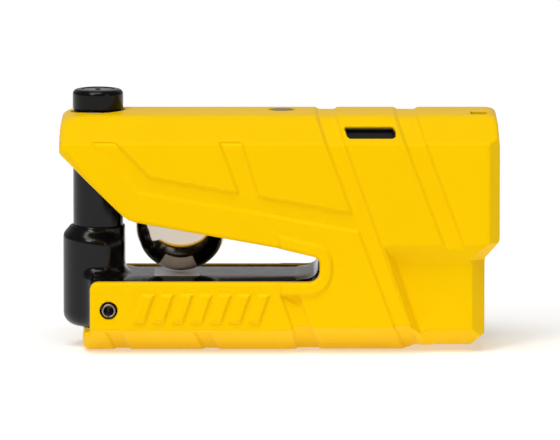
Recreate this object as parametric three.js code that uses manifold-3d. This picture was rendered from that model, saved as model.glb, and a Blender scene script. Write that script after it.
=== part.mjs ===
// Disc brake lock with an alarm, in millimetres: +X runs along the lock away from its bolt,
// -Y is the front face and +Z is up. The origin is under the middle of the lock, on its base.

import * as THREE from 'three';
import { mergeVertices } from 'three/addons/utils/BufferGeometryUtils.js';
import Module from 'manifold-3d';

const wasm = await Module();
wasm.setup();

// ---------------------------------------------------------------- driving dimensions

const GAP = 0.3;                    // clearance between neighbours
const HALF_LENGTH = 70;
const HALF_WIDTH = 26;
const TOP = 76.2;                   // crown of the housing
const WALL = 2.4;
const PARTING_Y = 14;               // the rear cover starts here

const SHOULDER_Y = 15;              // inner edge of the long top and bottom bevels
const TOP_BEVEL = [75, 68];         // its height at the shoulder and at the face
const BOTTOM_BEVEL = 7.7;

const BLOCK_Y = 21.2;               // half width of the set-back battery block
const BLOCK_X = 65.3;
const BLOCK_BASE = 1.8;
const LEDGE = [35.1, 28.8];         // height of the sloping ledge at the face and at the block
const DIAGONAL = [[34, 35.1], [43.5, 8]];

const MOUTH_END = 12.7;
const ARM_TOP = 23.75;
const ARM_HALF_WIDTH = 22.5;
const LIMB_HALF_WIDTH = 18.5;
const STEEL_TOP = 71.5;
const STEEL_END = 18.6;
const BOSS_RADIUS = 11.4;
const BOSS_TOP = 36.4;
const BOSS_LEFT = -69.4;
const BOSS_RIGHT = -48.9;
const BOSS_BASE = 7.2;

const BOLT_X = -58;
const BOLT_RADIUS = 8;
const BOLT_TIP = 22.5;
const BOLT_HOLLOW = [45, 6.6];      // floor and radius of the bolt's hollow
const CAP = { radius: 8.1, base: 76.9, top: 82.7 };
const PLUG_RADIUS = 4.3;
const PLUG_BASE = 50.7;
const PLUG_TOP = 78.3;
const BAR = { tip: -48.3, halfWidth: 2, base: 46, top: 48.6 };
const CAM_THROW = 2;
const TUMBLERS = 6;

const BALL = { x: -31.5, z: 38.8, radius: 14.6 };
const POCKET_RADIUS = 15.2;

const PIN = { x: -54.3, z: 14.3, radius: 2.2, bore: 1.6 };
const SCREW_SITES = [[-45, 64], [5, 60], [15.4, 14], [-38, 11], [62.5, 65], [62.5, 42]];
const BATTERY = { x: 53.4, z: 15.6, radius: 7.8, from: -12.5, to: 14.5 };
const BOARD_Y = -10;
const BOARD_SITES = [[28, 42], [28, 61]];
const SIREN_SLOT = { from: 20.5, to: 36.8, rise: 6.2 };
const LED_X = 0.8;

// ---------------------------------------------------------------- materials

function material(color, roughness, metalness) {
  return new THREE.MeshStandardMaterial({ color, roughness, metalness });
}

const yellowPaint = material(0xf7ce05, 0.32, 0);
const blackSteel = material(0x17161a, 0.22, 0.6);
const chrome = material(0xdadada, 0.05, 1);
const blackPlastic = material(0x141414, 0.3, 0);
const brass = material(0xc9a45a, 0.35, 1);
const zincSteel = material(0x9a9a9c, 0.35, 1);
const springSteel = material(0xb8babd, 0.3, 1);
const circuitGreen = material(0x1d6b3a, 0.5, 0);
const smokedLens = material(0x77736d, 0.2, 0);
const rubber = material(0x1c1c1c, 0.85, 0);
const batteryWrap = material(0x2c4f86, 0.4, 0.2);
const ribbon = material(0xb9b4a6, 0.6, 0);

// ---------------------------------------------------------------- solids

// Closes a geometry into a solid whose faces point out.
function solid(geometry) {
  const bare = new THREE.BufferGeometry();
  bare.setAttribute('position', geometry.getAttribute('position'));
  if (geometry.index) {
    bare.setIndex(geometry.index);
  }
  const welded = mergeVertices(bare, 1e-4);
  const corners = welded.index.array;
  const kept = [];
  for (let i = 0; i < corners.length; i += 3) {
    const [a, b, c] = [corners[i], corners[i + 1], corners[i + 2]];
    if (a !== b && b !== c && c !== a) {
      kept.push(a, b, c);
    }
  }
  const points = welded.getAttribute('position');
  const [a, b, c] = [new THREE.Vector3(), new THREE.Vector3(), new THREE.Vector3()];
  let volume = 0;
  for (let i = 0; i < kept.length; i += 3) {
    a.fromBufferAttribute(points, kept[i]);
    b.fromBufferAttribute(points, kept[i + 1]);
    c.fromBufferAttribute(points, kept[i + 2]);
    volume += a.dot(b.cross(c));
  }
  if (volume < 0) {
    kept.reverse();
  }
  return new wasm.Manifold(new wasm.Mesh({
    numProp: 3,
    vertProperties: new Float32Array(points.array),
    triVerts: new Uint32Array(kept),
  }));
}

function toGeometry(shape) {
  const mesh = shape.getMesh();
  const geometry = new THREE.BufferGeometry();
  geometry.setAttribute('position', new THREE.BufferAttribute(mesh.vertProperties, 3));
  geometry.setIndex(new THREE.BufferAttribute(mesh.triVerts, 1));
  geometry.computeVertexNormals();
  return geometry;
}

const AXES = {
  x: new THREE.Vector3(1, 0, 0),
  y: new THREE.Vector3(0, 1, 0),
  z: new THREE.Vector3(0, 0, 1),
};

// Pushes an outline through space: 'xz' outlines run along Y, 'yz' along X and 'xy' along Z.
function prism(points, plane, from, to) {
  const shape = new THREE.Shape(points.map(([u, v]) => new THREE.Vector2(u, v)));
  const geometry = new THREE.ExtrudeGeometry(shape, { depth: to - from, bevelEnabled: false });
  const basis = new THREE.Matrix4();
  if (plane === 'xz') {
    basis.makeBasis(AXES.x, AXES.z, AXES.y.clone().negate());
    basis.setPosition(0, to, 0);
  } else if (plane === 'yz') {
    basis.makeBasis(AXES.y, AXES.z, AXES.x);
    basis.setPosition(from, 0, 0);
  } else {
    basis.setPosition(0, 0, from);
  }
  geometry.applyMatrix4(basis);
  return solid(geometry);
}

function box(x0, x1, y0, y1, z0, z1) {
  const geometry = new THREE.BoxGeometry(x1 - x0, y1 - y0, z1 - z0);
  geometry.translate((x0 + x1) / 2, (y0 + y1) / 2, (z0 + z1) / 2);
  return solid(geometry);
}

// A round bar between two places on an axis; at holds the other two coordinates in x, y, z order.
function rod(axis, at, from, to, radius, sides = 32) {
  const geometry = new THREE.CylinderGeometry(radius, radius, to - from, sides);
  const middle = (from + to) / 2;
  if (axis === 'y') {
    geometry.translate(at[0], middle, at[1]);
  } else {
    geometry.rotateX(Math.PI / 2);
    geometry.translate(at[0], at[1], middle);
  }
  return solid(geometry);
}

// Turns a profile of [radius, height] points about a vertical axis.
function turned(x, y, profile, sides = 40) {
  const points = profile.map(([r, z]) => new THREE.Vector2(r, z));
  points.push(points[0].clone());
  const geometry = new THREE.LatheGeometry(points, sides);
  geometry.rotateX(Math.PI / 2);
  geometry.translate(x, y, 0);
  return solid(geometry);
}

class Helix extends THREE.Curve {
  constructor(radius, length, turns) {
    super();
    this.radius = radius;
    this.length = length;
    this.turns = turns;
  }

  getPoint(t) {
    const angle = 2 * Math.PI * this.turns * t;
    const [x, y] = [this.radius * Math.cos(angle), this.radius * Math.sin(angle)];
    return new THREE.Vector3(x, y, this.length * t);
  }
}

// A coil spring standing on the origin, along +Z.
function coil(radius, length, turns, wire) {
  const section = new THREE.Shape().absarc(0, 0, wire, 0, 2 * Math.PI);
  return new THREE.ExtrudeGeometry(section, {
    curveSegments: 4,
    steps: Math.round(turns * 14),
    extrudePath: new Helix(radius, length, turns),
  });
}

// Rounds the corners of an outline given as [u, v, radius] corners.
function rounded(corners) {
  const points = [];
  corners.forEach(([u, v, radius = 0], i) => {
    const at = new THREE.Vector2(u, v);
    if (radius === 0) {
      points.push([u, v]);
      return;
    }
    const before = new THREE.Vector2(...corners.at(i - 1)).sub(at).normalize();
    const after = new THREE.Vector2(...corners[(i + 1) % corners.length]).sub(at).normalize();
    const half = Math.acos(THREE.MathUtils.clamp(before.dot(after), -1, 1)) / 2;
    const centre = before.clone().add(after).normalize().multiplyScalar(radius / Math.sin(half));
    centre.add(at);
    const first = before.multiplyScalar(radius / Math.tan(half)).add(at).sub(centre);
    const last = after.multiplyScalar(radius / Math.tan(half)).add(at).sub(centre);
    let sweep = last.angle() - first.angle();
    sweep -= 2 * Math.PI * Math.round(sweep / (2 * Math.PI));
    const steps = Math.max(2, Math.ceil(Math.abs(sweep) / 0.4));
    for (let k = 0; k <= steps; k += 1) {
      const angle = first.angle() + (sweep * k) / steps;
      points.push([centre.x + radius * Math.cos(angle), centre.y + radius * Math.sin(angle)]);
    }
  });
  return points;
}

function mirrored(points) {
  return points.map(([y, z]) => [-y, z]);
}

// ---------------------------------------------------------------- housing

function housingOutline() {
  return rounded([
    [-69.3, TOP, 3.5], [69.3, TOP, 3.5],
    [HALF_LENGTH, 68, 9], [HALF_LENGTH, 36.2, 1.5],
    [BLOCK_X, 30, 1.5], [BLOCK_X, BLOCK_BASE, 4.5], [43, BLOCK_BASE], [40.5, 0],
    [-61.5, 0], [-62.7, 1.2], [-62.7, 6.8, 0.8], [-60.3, 6.8], [-60.3, 22.8, 2.5],
    [MOUTH_END, 22.8, 3.6], [MOUTH_END, 31.4, 2], [0.5, 34.4],
    [-48.2, 43, 9], [-HALF_LENGTH, 64.4, 1.5], [-HALF_LENGTH, 68, 9],
  ]);
}

function crossSection(inset) {
  const face = HALF_WIDTH - inset;
  const shoulder = SHOULDER_Y - inset * 0.5;
  return [
    [-face, BOTTOM_BEVEL + inset * 0.7], [-face, TOP_BEVEL[1] - inset * 0.56],
    [-shoulder, TOP_BEVEL[0] - inset * 0.9], [0, TOP - inset],
    [shoulder, TOP_BEVEL[0] - inset * 0.9], [face, TOP_BEVEL[1] - inset * 0.56],
    [face, BOTTOM_BEVEL + inset * 0.7], [shoulder, inset], [-shoulder, inset],
  ];
}

// What is taken off each side to leave the set-back block, or off the cavity behind its walls.
function blockRecess(inset) {
  const y = BLOCK_Y - inset;
  const slope = (LEDGE[0] - LEDGE[1]) / (HALF_WIDTH - BLOCK_Y);
  const base = LEDGE[1] + inset;
  const side = [[-y - 8, base + 8 * slope], [-y, base], [-y, -5], [-y - 8, -5]];
  const [[x1, z1], [x2, z2]] = DIAGONAL;
  const lean = (x2 - x1) / (z1 - z2);
  const top = base + 8 * slope;
  const left = x1 - inset;
  const window = [
    [left - (top - z1) * lean, top], [90, top], [90, -5], [left + (z1 + 5) * lean, -5],
  ];
  const both = prism(side, 'yz', 0, 90).add(prism(mirrored(side), 'yz', 0, 90));
  return both.intersect(prism(window, 'xz', -40, 40));
}

function housingShape() {
  const edge = 3.4;
  const plan = [
    [-HALF_LENGTH, -23], [-67, -HALF_WIDTH], [HALF_LENGTH - edge, -HALF_WIDTH],
    [HALF_LENGTH, edge - HALF_WIDTH], [HALF_LENGTH, HALF_WIDTH - edge],
    [HALF_LENGTH - edge, HALF_WIDTH], [-67, HALF_WIDTH], [-HALF_LENGTH, 23],
  ];
  return prism(housingOutline(), 'xz', -HALF_WIDTH, HALF_WIDTH)
    .intersect(prism(crossSection(0), 'yz', -80, 80))
    .intersect(prism(plan, 'xy', -5, 90))
    .subtract(blockRecess(0));
}

function housingCavity() {
  const upper = [
    [-68.4, TOP], [67.6, TOP], [67.6, 37.2], [62.9, 31], [62.9, 4.2], [44, 4.2], [41.5, WALL],
    [15.1, WALL], [15.1, 33.4], [0.5, 36.8], [-47.5, 45.5], [-68.4, 66],
  ];
  const arm = [[-57.9, WALL], [15.5, WALL], [15.5, 30], [-80, 30], [-80, 7], [-57.9, 7]];
  return prism(upper, 'xz', -40, 40)
    .add(prism(arm, 'xz', -40, 40))
    .intersect(prism(crossSection(WALL), 'yz', -90, 90))
    .subtract(blockRecess(WALL));
}

// The way through the underside of the nose and jaw that the steel body fills.
function jawOpening() {
  const outline = [
    [-68.3, 60], [-47.5, 39], [0.5, 32], [12, 30], [15.5, 30], [15.5, 40], [-40, 50], [-68.3, 71],
  ];
  const halfWidth = LIMB_HALF_WIDTH + GAP;
  return prism(outline, 'xz', -halfWidth, halfWidth);
}

// A block lying on the front top bevel, from depth below its surface to above it.
function bevelBlock(x0, x1, along, below, above) {
  const tilt = Math.atan2(TOP_BEVEL[0] - TOP_BEVEL[1], HALF_WIDTH - SHOULDER_Y);
  const geometry = new THREE.BoxGeometry(x1 - x0, along, below + above);
  geometry.translate((x0 + x1) / 2, 0, (above - below) / 2);
  geometry.rotateX(tilt);
  geometry.translate(0, -(HALF_WIDTH + SHOULDER_Y) / 2, (TOP_BEVEL[0] + TOP_BEVEL[1]) / 2);
  return geometry;
}

const shell = housingShape().subtract(housingCavity()).subtract(jawOpening());

function mainHousing() {
  let housing = shell.subtract(box(-90, 90, PARTING_Y, 40, -10, 90));
  for (const [x, z] of SCREW_SITES.slice(4)) {
    housing = housing.add(rod('y', [x, z], -HALF_WIDTH + 1, PARTING_Y, 3.4, 20));
    housing = housing.subtract(rod('y', [x, z], 0, 20, 1.8, 16));
  }
  for (const [x, z] of BOARD_SITES) {
    housing = housing.add(rod('y', [x, z], -HALF_WIDTH + 1, BOARD_Y - 1.1, 3, 16));
    housing = housing.subtract(rod('y', [x, z], -19, 0, 1.3, 12));
  }
  return housing
    .subtract(rod('z', [BOLT_X, 0], 60, 90, BOLT_RADIUS + 0.4, 48))
    .subtract(rod('z', [LED_X, 0], 70, 90, 4.2, 32))
    .subtract(rod('y', [PIN.x, PIN.z], -40, 0, 2.8, 24))
    .subtract(solid(bevelBlock(SIREN_SLOT.from, SIREN_SLOT.to, SIREN_SLOT.rise, 5, 3)))
    .subtract(box(61, 65.8, -10.5, -5, 74.4, 80));
}

function coverOpening() {
  return box(45.2, 61.6, PARTING_Y, 40, 6.3, 28.5);
}

function rearCover() {
  let cover = shell.subtract(box(-90, 90, -40, PARTING_Y + GAP, -10, 90));
  for (const [x, z] of SCREW_SITES.slice(0, 2)) {
    cover = cover.add(rod('y', [x, z], LIMB_HALF_WIDTH + GAP, HALF_WIDTH - 1, 4.2, 20));
  }
  for (const [x, z] of SCREW_SITES.slice(4)) {
    cover = cover.add(rod('y', [x, z], PARTING_Y + GAP, HALF_WIDTH - 1, 4.2, 20));
  }
  for (const [x, z] of SCREW_SITES) {
    cover = cover.subtract(rod('y', [x, z], 0, 40, 1.8, 16));
    cover = cover.subtract(rod('y', [x, z], HALF_WIDTH - 1.7, 40, 3.2, 20));
  }
  return cover
    .subtract(rod('y', [PIN.x, PIN.z], 0, 40, 2.8, 24))
    .subtract(coverOpening());
}

function rollPin() {
  return rod('y', [PIN.x, PIN.z], -25.7, 25.7, PIN.radius, 24)
    .subtract(rod('y', [PIN.x, PIN.z], -30, 30, PIN.bore, 24))
    .subtract(box(PIN.x - 0.3, PIN.x + 0.3, -30, 30, PIN.z - 3, PIN.z));
}

// A pan-head screw driven towards -Y, with its head's top at headY.
function screwAlongY(x, z, headY, tipY, headRadius, shankRadius) {
  const headDepth = headRadius * 0.45;
  return rod('y', [x, z], headY - headDepth, headY, headRadius, 20)
    .add(rod('y', [x, z], tipY, headY - headDepth / 2, shankRadius, 12))
    .subtract(box(x - headRadius * 0.7, x + headRadius * 0.7, headY - 0.5, headY + 1, z - 0.3, z + 0.3));
}

// ---------------------------------------------------------------- steel body

function steelArm() {
  const section = [
    [-ARM_HALF_WIDTH, ARM_TOP - 0.75], [-12.5, ARM_TOP], [12.5, ARM_TOP],
    [ARM_HALF_WIDTH, ARM_TOP - 0.75], [ARM_HALF_WIDTH, 9.7], [14, WALL + GAP],
    [-14, WALL + GAP], [-ARM_HALF_WIDTH, 9.7],
  ];
  return prism(section, 'yz', -57.6, 13);
}

function steelLimb() {
  const outline = rounded([
    [-68, STEEL_TOP, 2], [STEEL_END, STEEL_TOP], [STEEL_END, 3.5], [6, 3.5], [6, ARM_TOP - 0.5],
    [12.3, ARM_TOP + 0.5, 3.5], [12.3, 32.2, 2], [0.5, 34.9], [-48, 43.6, 9], [-68, 63.2],
  ]);
  return prism(outline, 'xz', -LIMB_HALF_WIDTH, LIMB_HALF_WIDTH)
    .intersect(prism(crossSection(WALL + GAP), 'yz', -90, 90));
}

function steelBoss() {
  const profile = [
    [0, BOSS_BASE], [8, BOSS_BASE], [BOSS_RADIUS, 11], [BOSS_RADIUS, BOSS_TOP - 1],
    [BOSS_RADIUS - 1, BOSS_TOP], [0, BOSS_TOP],
  ];
  return turned(BOLT_X, 0, profile, 40)
    .subtract(box(-90, BOSS_LEFT, -20, 20, 0, 90))
    .subtract(box(BOSS_RIGHT, 0, -20, 20, ARM_TOP - 1, 90));
}

function steelBody() {
  const bore = BOLT_RADIUS + GAP;
  let body = steelArm().add(steelLimb()).add(steelBoss())
    .subtract(rod('z', [BOLT_X, 0], BOLT_TIP - 1, 80, bore, 40))
    .subtract(box(BOLT_X, BAR.tip + 0.4, -BAR.halfWidth - GAP, BAR.halfWidth + GAP, 45.5, 80))
    .subtract(rod('z', [BALL.x, 0], 33, 80, POCKET_RADIUS, 40))
    .subtract(rod('y', [PIN.x, PIN.z], -40, 40, PIN.radius + GAP, 24))
    .subtract(box(LED_X - 6.5, LED_X + 6.5, -6.5, 6.5, 68.6, 80));
  for (const [x, z] of SCREW_SITES.slice(0, 4)) {
    body = body.subtract(rod('y', [x, z], 11, 40, 1.8, 16));
  }
  return body;
}

// ---------------------------------------------------------------- bolt and cylinder

function lockingBolt() {
  const [floor, hollow] = BOLT_HOLLOW;
  const profile = [
    [0, BOLT_TIP], [BOLT_RADIUS - 1, BOLT_TIP], [BOLT_RADIUS, BOLT_TIP + 1],
    [BOLT_RADIUS, CAP.base - GAP], [7.3, CAP.base - GAP], [7.3, 79.4],
    [hollow, 79.4], [hollow, floor], [0, floor],
  ];
  const slot = BAR.halfWidth + GAP;
  return turned(BOLT_X, 0, profile, 48)
    .subtract(box(BOLT_X, BOLT_X + 12, -slot, slot, BAR.base - GAP, BAR.top + GAP))
    .subtract(rod('y', [BOLT_X - 5.6, 70], -20, 20, 0.95, 12));
}

function boltCap() {
  const profile = [
    [7.6, CAP.base], [CAP.radius, CAP.base + 0.4], [CAP.radius, CAP.top - 1.8],
    [7.7, CAP.top - 0.8], [6.8, CAP.top - 0.2], [5.2, CAP.top], [5.2, 79.7], [7.6, 79.7],
  ];
  return turned(BOLT_X, 0, profile, 48);
}

function cylinderBody() {
  const outer = BOLT_HOLLOW[1] - GAP;
  const profile = [
    [PLUG_RADIUS + GAP, PLUG_BASE], [outer, PLUG_BASE], [outer, PLUG_TOP],
    [PLUG_RADIUS + GAP, PLUG_TOP],
  ];
  return turned(BOLT_X, 0, profile, 32).subtract(rod('y', [BOLT_X - 5.6, 70], -20, 20, 0.95, 12));
}

function cylinderPin() {
  return rod('y', [BOLT_X - 5.6, 70], -4.8, 4.8, 0.65, 12);
}

function keyPlug() {
  const profile = [
    [0, PLUG_BASE], [PLUG_RADIUS, PLUG_BASE], [PLUG_RADIUS, PLUG_TOP], [3.5, PLUG_TOP],
    [3.5, PLUG_BASE + 2], [0, PLUG_BASE + 2],
  ];
  return turned(BOLT_X, 0, profile, 32);
}

function tumblerDisc(index) {
  const base = PLUG_BASE + 3 + index * 3.6;
  const keyhole = box(BOLT_X - 0.9, BOLT_X + 0.9, -2.3, 2.3, base - 1, base + 5);
  return rod('z', [BOLT_X, 0], base, base + 2.4, 3.2, 20).subtract(keyhole);
}

function plugFace() {
  const profile = [
    [4.25, PLUG_TOP + GAP], [4.9, PLUG_TOP + GAP], [4.9, CAP.top - 0.3], [0, CAP.top - 0.3],
    [0, CAP.top - 1.5], [4.25, CAP.top - 1.5],
  ];
  return turned(BOLT_X, 0, profile, 32)
    .subtract(box(BOLT_X - 0.8, BOLT_X + 0.8, -2.5, 2.5, 75, 90));
}

function keywayShutter() {
  return box(BOLT_X - 1, BOLT_X + 1, -2.7, 2.7, 79.6, 80.7);
}

function tailCam() {
  return rod('z', [BOLT_X, 0], 48.9, PLUG_BASE - GAP, 4, 32)
    .add(rod('z', [BOLT_X + CAM_THROW, 0], BAR.base + GAP, 49.5, 0.9, 16));
}

function lockingBar() {
  const plate = box(BOLT_X - 2.4, -50.5, -2.4, 4.3, BAR.base, BAR.base + 1.4);
  const yoke = box(BOLT_X + 0.1, BOLT_X + CAM_THROW + 1.7, -1.3, 3.4, 40, 50);
  const bolt = box(-53.5, BAR.tip, -BAR.halfWidth, BAR.halfWidth, BAR.base, BAR.top);
  const trimmed = plate.intersect(rod('z', [BOLT_X, 0], 40, 60, 6.1, 32));
  return trimmed.subtract(yoke).add(bolt);
}

function boltSeal() {
  const profile = [[8.4, 71.8], [9.9, 71.8], [9.9, 72.7], [8.4, 72.7]];
  return turned(BOLT_X, 0, profile, 40);
}

// ---------------------------------------------------------------- clamping ball

function clampBall() {
  const geometry = new THREE.SphereGeometry(BALL.radius, 32, 16);
  geometry.rotateX(Math.PI / 2);
  geometry.translate(BALL.x, 0, BALL.z);
  return solid(geometry);
}

function ballCup() {
  const sphere = new THREE.SphereGeometry(BALL.radius + GAP, 32, 16);
  sphere.rotateX(Math.PI / 2);
  sphere.translate(BALL.x, 0, BALL.z);
  return rod('z', [BALL.x, 0], 50.3, 55.6, 10.5, 32).subtract(solid(sphere));
}

function pocketCap() {
  return rod('z', [BALL.x, 0], 67.2, 71.2, POCKET_RADIUS - GAP, 40)
    .subtract(box(BALL.x - 9, BALL.x + 9, -1.2, 1.2, 69.6, 80));
}

// ---------------------------------------------------------------- alarm

function alarmBoard() {
  let board = box(24, 58.5, BOARD_Y - 0.8, BOARD_Y + 0.8, 38, 68);
  for (const [x, z] of BOARD_SITES) {
    board = board.subtract(rod('y', [x, z], -20, 0, 1.3, 12));
  }
  return board;
}

function piezoSiren() {
  return rod('y', [43, 53], -22.6, BOARD_Y - 1.1, 11, 32)
    .subtract(rod('y', [43, 53], -30, -21, 2.5, 16));
}

function ledWindow() {
  const profile = [
    [0, 72], [5.4, 72], [5.4, 72.9], [3.9, 72.9], [3.9, 75.8], [3.4, 76.05], [0, 76.05],
  ];
  return turned(LED_X, 0, profile, 32);
}

function ledRibbon() {
  const outline = [[8, 71.8], [8, 72.1], [31, 72.1], [31, 66.5], [30.7, 66.5], [30.7, 71.8]];
  return prism(outline, 'xz', -8.6, -3.6);
}

// ---------------------------------------------------------------- battery

function batteryCell() {
  const { x, z, radius, from, to } = BATTERY;
  return rod('y', [x, z], from, to, radius, 32).add(rod('y', [x, z], to - 1, to + 0.4, 3, 20));
}

function batteryTray() {
  const { x, z, radius } = BATTERY;
  return box(44.3, 62.5, -18.2, 15.8, 6.2, 27.8)
    .subtract(rod('y', [x, z], -16.6, 30, radius + 0.4, 32))
    .subtract(rod('y', [x, 25.4], 10, 30, 1.3, 12))
    .subtract(box(x - 4, x + 4, -30, 0, z - 4, z + 4));
}

function coverContact() {
  const { x, z } = BATTERY;
  return box(x - 4.5, x + 4.5, 15.2, 15.8, z - 4.5, z + 4.5);
}

function batteryCover() {
  const { x, z } = BATTERY;
  return box(45.5, 61.3, 18.9, BLOCK_Y, 6.6, 28.2)
    .add(box(x - 6, x + 6, 16.1, 19.5, z - 6, z + 6))
    .subtract(rod('y', [x, 25.4], 0, 40, 1.3, 12))
    .subtract(rod('y', [x, 25.4], BLOCK_Y - 1.5, 40, 2.6, 20));
}

function coverGasket() {
  const { x, z } = BATTERY;
  return box(x - 7.6, x + 7.6, 17.2, 18.6, z - 7.6, z + 7.6)
    .subtract(box(x - 6.3, x + 6.3, 0, 40, z - 6.3, z + 6.3));
}

// ---------------------------------------------------------------- assembly

const lock = new THREE.Group();

function add(name, shape, finish) {
  const geometry = shape instanceof THREE.BufferGeometry ? shape : toGeometry(shape);
  const mesh = new THREE.Mesh(geometry, finish);
  mesh.name = name;
  lock.add(mesh);
  return mesh;
}

add('main_housing', mainHousing(), yellowPaint);
add('rear_cover', rearCover(), yellowPaint);
add('steel_body', steelBody(), blackSteel);
add('roll_pin', rollPin(), zincSteel);
SCREW_SITES.forEach(([x, z], i) => {
  const head = HALF_WIDTH - 0.3;
  add(`housing_screw_${i + 1}`, screwAlongY(x, z, head, i < 4 ? 12 : 2, 2.8, 1.45), zincSteel);
});

add('locking_bolt', lockingBolt(), blackSteel);
add('bolt_cap', boltCap(), blackPlastic);
add('cylinder_body', cylinderBody(), brass);
add('cylinder_pin', cylinderPin(), zincSteel);
add('key_plug', keyPlug(), brass);
for (let i = 0; i < TUMBLERS; i += 1) {
  add(`tumbler_disc_${i + 1}`, tumblerDisc(i), brass);
}
add('plug_face', plugFace(), zincSteel);
add('keyway_shutter', keywayShutter(), zincSteel);
add('tail_cam', tailCam(), zincSteel);
add('locking_bar', lockingBar(), zincSteel);
add('bolt_seal', boltSeal(), rubber);

add('clamp_ball', clampBall(), chrome);
add('ball_cup', ballCup(), zincSteel);
const ballSpring = add('ball_spring', coil(7.5, 9.2, 3, 0.7), springSteel);
ballSpring.position.set(BALL.x, 0, 56.8);
add('ball_pocket_cap', pocketCap(), zincSteel);

add('alarm_board', alarmBoard(), circuitGreen);
BOARD_SITES.forEach(([x, z], i) => {
  add(`board_screw_${i + 1}`, screwAlongY(x, z, BOARD_Y + 2.2, BOARD_Y - 8, 2.2, 1), zincSteel);
});
add('controller_chip', box(44, 54, BOARD_Y + 1.1, BOARD_Y + 2.6, 44, 54), blackPlastic);
add('motion_sensor', box(33, 39, BOARD_Y + 1.1, BOARD_Y + 2.3, 44, 50), blackPlastic);
add('buffer_capacitor', rod('y', [50, 62], BOARD_Y + 1.1, 2, 4, 24), blackPlastic);
add('piezo_siren', piezoSiren(), blackPlastic);
const mesh = solid(bevelBlock(SIREN_SLOT.from - 1.5, SIREN_SLOT.to + 1.5, 7.5, 3.3, -2.8));
add('siren_mesh', mesh, blackPlastic);
add('led_window', ledWindow(), smokedLens);
add('status_led', rod('z', [LED_X, 0], 70.1, 71.7, 1.6, 20), smokedLens);
add('led_board', box(LED_X - 5.5, LED_X + 5.5, -5, 5, 68.9, 69.8), circuitGreen);
add('led_ribbon', ledRibbon(), ribbon);
add('bolt_switch', box(-46.9, -41.5, -4, 4, 71.8, 73.1), blackPlastic);
add('switch_ribbon', box(-41.2, -6.2, 1, 4.5, 71.8, 72.1), ribbon);

add('battery', batteryCell(), batteryWrap);
add('battery_tray', batteryTray(), blackPlastic);
const contactSpring = add('battery_contact_spring', coil(3.4, 2.2, 2, 0.4), springSteel);
contactSpring.rotation.x = -Math.PI / 2;
contactSpring.position.set(BATTERY.x, -15.6, BATTERY.z);
add('cover_contact', coverContact(), springSteel);
add('cover_gasket', coverGasket(), rubber);
add('battery_cover', batteryCover(), yellowPaint);
add('cover_screw', screwAlongY(BATTERY.x, 25.4, BLOCK_Y - 0.2, 11, 2.3, 1), zincSteel);

export default lock;
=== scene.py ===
"""The looks of the disc brake lock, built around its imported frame.

Shapes are fields in millimetres, negative inside the solid. A net of quads is drawn over each
field's surface, so every edge and fillet is round. Meshes are then scaled to metres.
"""

import math

import bmesh
import bpy
import numpy as np
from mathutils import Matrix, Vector


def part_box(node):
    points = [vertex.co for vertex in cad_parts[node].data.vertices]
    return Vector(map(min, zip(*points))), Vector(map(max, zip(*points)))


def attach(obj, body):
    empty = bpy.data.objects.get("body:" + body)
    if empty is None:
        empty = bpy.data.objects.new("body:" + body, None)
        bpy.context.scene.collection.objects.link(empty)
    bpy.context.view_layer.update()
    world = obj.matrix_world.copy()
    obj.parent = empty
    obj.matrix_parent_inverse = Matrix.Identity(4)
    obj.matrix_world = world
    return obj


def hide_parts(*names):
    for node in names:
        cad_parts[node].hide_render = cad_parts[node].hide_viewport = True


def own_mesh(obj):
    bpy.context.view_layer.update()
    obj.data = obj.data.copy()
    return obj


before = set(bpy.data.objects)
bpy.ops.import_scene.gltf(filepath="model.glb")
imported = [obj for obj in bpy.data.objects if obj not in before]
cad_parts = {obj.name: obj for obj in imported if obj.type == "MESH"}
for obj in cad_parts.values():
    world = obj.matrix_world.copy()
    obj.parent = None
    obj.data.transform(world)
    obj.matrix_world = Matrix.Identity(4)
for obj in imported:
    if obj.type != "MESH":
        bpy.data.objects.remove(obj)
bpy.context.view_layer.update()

MM = 0.001


# ---------------------------------------------------------------- places, from the frame


def box_mm(node):
    """Lowest and highest corners of a CAD node, in millimetres."""
    low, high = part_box(node)
    return [v / MM for v in low], [v / MM for v in high]


def axis_along_y(node):
    """Where the axis of a round node that lies along Y passes, as (x, z)."""
    low, high = box_mm(node)
    return (low[0] + high[0]) / 2, (low[2] + high[2]) / 2


HOUSING_LOW, HOUSING_HIGH = box_mm("main_housing")
HALF_LENGTH = HOUSING_HIGH[0]
HALF_WIDTH = -HOUSING_LOW[1]
TOP = HOUSING_HIGH[2]
PARTING_Y = HOUSING_HIGH[1]
COVER_Y = box_mm("rear_cover")[0][1]
BOLT_LOW, BOLT_HIGH = box_mm("locking_bolt")
BOLT_X = (BOLT_LOW[0] + BOLT_HIGH[0]) / 2
BOLT_RADIUS = (BOLT_HIGH[0] - BOLT_LOW[0]) / 2
CAP_LOW, CAP_HIGH = box_mm("bolt_cap")
BALL_LOW, BALL_HIGH = box_mm("clamp_ball")
BALL_X = (BALL_LOW[0] + BALL_HIGH[0]) / 2
BALL_Z = (BALL_LOW[2] + BALL_HIGH[2]) / 2
BALL_RADIUS = (BALL_HIGH[2] - BALL_LOW[2]) / 2
PIN_LOW, PIN_HIGH = box_mm("roll_pin")
PIN_X, PIN_Z = axis_along_y("roll_pin")
PIN_RADIUS = (PIN_HIGH[0] - PIN_LOW[0]) / 2
LED_LOW, LED_HIGH = box_mm("led_window")
LED_X = (LED_LOW[0] + LED_HIGH[0]) / 2
COVER_LOW, COVER_HIGH = box_mm("battery_cover")

# The housing: its wall, and the heights of its bevels at the shoulder and at the face.
WALL = 2.4
SHOULDER_Y = 15
CROWN_RADIUS = 94
TOP_BEVEL = (75, 68)
BOTTOM_BEVEL = 7.7
MOUTH_HALF_WIDTH = 18.8

# The battery block, the ledge above it, and x + y on the cut of the corner above it.
BLOCK_Y = COVER_HIGH[1]
LEDGE = (36.4, 28.8)
BLOCK_CORNER = 82.4

# How far each level of the relief lies below the face.
RAISED, PAD, CHANNEL, LIP, POCKET = -0.15, 0.75, 1.65, 1.1, 2.3

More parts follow.
